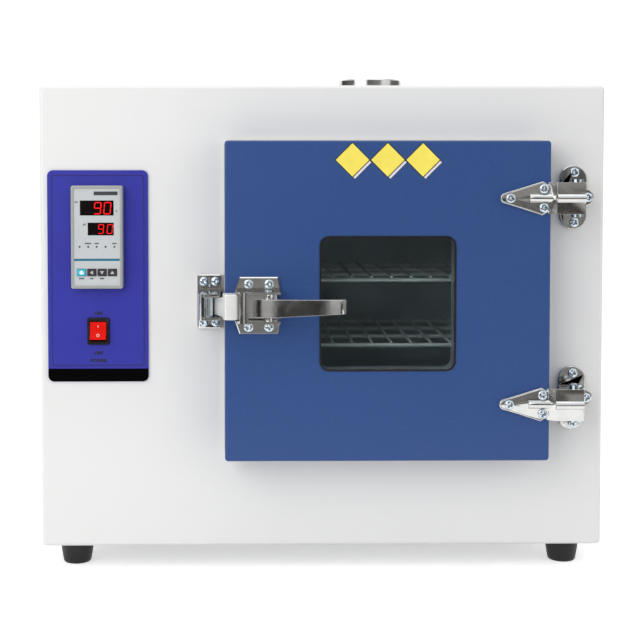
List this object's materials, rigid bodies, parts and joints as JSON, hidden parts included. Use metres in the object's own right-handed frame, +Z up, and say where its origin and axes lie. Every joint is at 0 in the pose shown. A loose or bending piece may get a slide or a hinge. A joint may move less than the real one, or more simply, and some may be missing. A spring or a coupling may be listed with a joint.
{
  "type": "laboratory drying oven",
  "caption": "Benchtop hot-air drying oven with a glazed side-hinged door, lever latch, wire shelves, front controls and an adjustable roof vent.",
  "frame": {"origin": "under the middle of the whole part's box, on the surface the feet stand on", "axes": "+X to the right along the cabinet's width, +Y to the rear, +Z up; the door faces -Y"},
  "size_m": [0.53, 0.511, 0.4769],
  "materials": {
    "body_paint": "fine satin powder coat",
    "door_paint": "fine orange-peel enamel",
    "zinc_sheet": "galvanised",
    "stainless": "dull stainless",
    "chrome": "polished",
    "screw_steel": "bright zinc",
    "black_rubber": "matt",
    "silicone": "matt",
    "wool": "glass wool",
    "glass": "clear",
    "fascia_film": "printed film",
    "controller_grey": "satin",
    "lens_tint": "gloss",
    "key_black": "satin",
    "key_cyan": "satin",
    "switch_black": "satin",
    "switch_red": "gloss",
    "nylon": "matt"
  },
  "bodies": {
    "root": {"outer_casing": "body_paint", "front_panel": "body_paint", "rear_cover": "body_paint", "base_pan": "zinc_sheet", "partition_wall": "zinc_sheet", "chamber_supports": "zinc_sheet", "chamber_liner": "stainless", "floor_plate": "stainless", "shelf_rack_left": "stainless", "shelf_rack_right": "stainless", "heater_element": "stainless", "temperature_probe": "stainless", "vent_duct": "stainless", "vent_flange": "zinc_sheet", "insulation": "wool", "hinge_bracket_upper": "chrome", "hinge_bracket_lower": "chrome", "hinge_pins": "screw_steel", "strike_body": "chrome", "strike_pin": "screw_steel", "cabinet_screws": "screw_steel", "rear_cover_screws": "screw_steel", "foot_screws": "screw_steel", "control_fascia": "fascia_film", "controller_housing": "controller_grey", "controller_face": "controller_grey", "display_lenses": "lens_tint", "rocker_housing": "switch_black", "solid_state_relay": "nylon", "terminal_block": "nylon", "cable_gland": "nylon", "gland_nut": "nylon", "foot_front_left": "black_rubber", "foot_front_right": "black_rubber", "foot_rear_left": "black_rubber", "foot_rear_right": "black_rubber"},
    "door": {"door_skin": "door_paint", "door_liner": "stainless", "door_insulation": "wool", "door_gasket": "silicone", "window_outer_glass": "glass", "window_inner_glass": "glass", "window_frame": "stainless", "window_bead": "black_rubber", "hinge_strap_upper": "chrome", "hinge_strap_lower": "chrome", "door_screws": "screw_steel", "latch_body": "chrome", "latch_pin": "screw_steel"},
    "latch_handle": {"latch_handle": "chrome"},
    "latch_bolt": {"latch_bolt": "chrome"},
    "strike_roller": {"strike_roller": "screw_steel"},
    "vent_cap": {"vent_cap": "zinc_sheet"},
    "rocker_switch": {"rocker_switch": "switch_red"},
    "key_set": {"key_set": "key_cyan"},
    "key_shift": {"key_shift": "key_black"},
    "key_down": {"key_down": "key_black"},
    "key_up": {"key_up": "key_black"},
    "shelf_upper": {"shelf_upper": "stainless"},
    "shelf_lower": {"shelf_lower": "stainless"}
  },
  "joints": [
    {"name": "door_hinge", "type": "hinge", "parent": "root", "child": "door", "pos_m": [0.232, -0.1925, 0.261], "axis": [0, 0, 1], "range_deg": [0, 110]},
    {"name": "latch_lever", "type": "hinge", "parent": "door", "child": "latch_handle", "pos_m": [-0.0509, -0.2185, 0.258], "axis": [0, 0, -1], "range_deg": [0, 35], "stiffness_Nm_per_rad": 1, "springref_deg": -5.73},
    {"name": "bolt_slide", "type": "slide", "parent": "door", "child": "latch_bolt", "axis": [1, 0, 0], "range_m": [0, 0.0092]},
    {"name": "roller_spin", "type": "hinge", "parent": "root", "child": "strike_roller", "pos_m": [-0.106, -0.2105, 0.258], "axis": [0, 0, 1], "continuous": true},
    {"name": "vent_turn", "type": "hinge", "parent": "root", "child": "vent_cap", "pos_m": [0.058, -0.0025, 0.4705], "axis": [0, 0, 1], "range_deg": [0, 30]},
    {"name": "power_rocker", "type": "hinge", "parent": "root", "child": "rocker_switch", "pos_m": [-0.2102, -0.16525, 0.2301], "axis": [1, 0, 0], "range_deg": [0, 24]},
    {"name": "key_set_press", "type": "slide", "parent": "root", "child": "key_set", "axis": [0, 1, 0], "range_m": [0, 0.0008], "stiffness_N_per_m": 600},
    {"name": "key_shift_press", "type": "slide", "parent": "root", "child": "key_shift", "axis": [0, 1, 0], "range_m": [0, 0.0008], "stiffness_N_per_m": 600},
    {"name": "key_down_press", "type": "slide", "parent": "root", "child": "key_down", "axis": [0, 1, 0], "range_m": [0, 0.0008], "stiffness_N_per_m": 600},
    {"name": "key_up_press", "type": "slide", "parent": "root", "child": "key_up", "axis": [0, 1, 0], "range_m": [0, 0.0008], "stiffness_N_per_m": 600},
    {"name": "shelf_upper_slide", "type": "slide", "parent": "root", "child": "shelf_upper", "axis": [0, -1, 0], "range_m": [0, 0.012]},
    {"name": "shelf_lower_slide", "type": "slide", "parent": "root", "child": "shelf_lower", "axis": [0, -1, 0], "range_m": [0, 0.012]}
  ],
  "couplings": [
    {"joint": "bolt_slide", "follows": "latch_lever", "m_per_rad": 0.0147}
  ]
}
